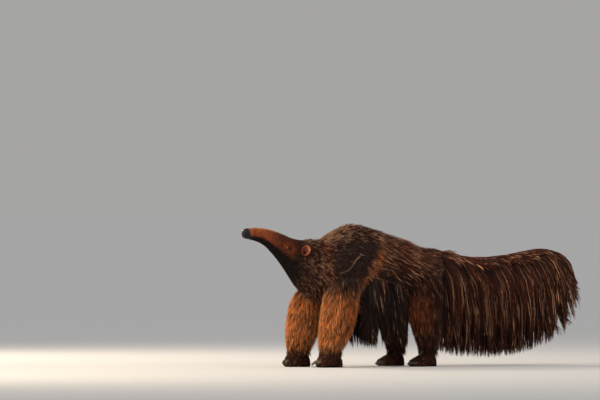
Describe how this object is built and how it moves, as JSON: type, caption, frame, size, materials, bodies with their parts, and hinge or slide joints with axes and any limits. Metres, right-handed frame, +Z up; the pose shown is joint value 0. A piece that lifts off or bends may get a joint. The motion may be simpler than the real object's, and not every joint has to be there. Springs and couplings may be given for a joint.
{
  "type": "giant anteater",
  "caption": "Life-size giant anteater that stands with its long muzzle raised, with a shaggy dark coat, tan forelegs and a deep curtain of hair on the tail.",
  "frame": {"origin": "on the floor, under the middle of the animal's length and width", "axes": "+X from the muzzle towards the tail, +Y to the animal's right side, +Z up"},
  "size_m": [1.8936, 0.3678, 0.6806],
  "materials": {
    "dark_coat": "coarse dark brown hair with lighter brown strands",
    "brown_coat": "coarse reddish brown hair",
    "tan_coat": "tan and orange-brown hair with a dark wrist band",
    "face_coat": "short flat brown fur",
    "nose_skin": "smooth black damp skin",
    "eye": "glossy dark brown",
    "ear_skin": "short-haired reddish skin",
    "horn": "dull dark horn of the claws"
  },
  "bodies": {
    "root": {"claw_fore_left_fourth": "horn", "claw_fore_left_second": "horn", "claw_fore_left_third": "horn", "claw_fore_right_fourth": "horn", "claw_fore_right_second": "horn", "claw_fore_right_third": "horn", "claw_hind_left_1": "horn", "claw_hind_left_2": "horn", "claw_hind_left_3": "horn", "claw_hind_left_4": "horn", "claw_hind_left_5": "horn", "claw_hind_right_1": "horn", "claw_hind_right_2": "horn", "claw_hind_right_3": "horn", "claw_hind_right_4": "horn", "claw_hind_right_5": "horn", "ear_left": "ear_skin", "ear_right": "ear_skin", "eye_left": "eye", "eye_right": "eye", "flank_left": "dark_coat", "flank_right": "dark_coat", "forefoot_left": "dark_coat", "forefoot_right": "dark_coat", "foreleg_left": "tan_coat", "foreleg_right": "tan_coat", "head": "face_coat", "hindfoot_left": "dark_coat", "hindfoot_right": "dark_coat", "hindleg_left": "brown_coat", "hindleg_right": "brown_coat", "neck": "dark_coat", "nose": "nose_skin", "tail_end": "dark_coat", "tail_middle": "dark_coat", "tail_root": "dark_coat", "torso_front": "dark_coat", "torso_rear": "dark_coat"}
  },
  "joints": []
}
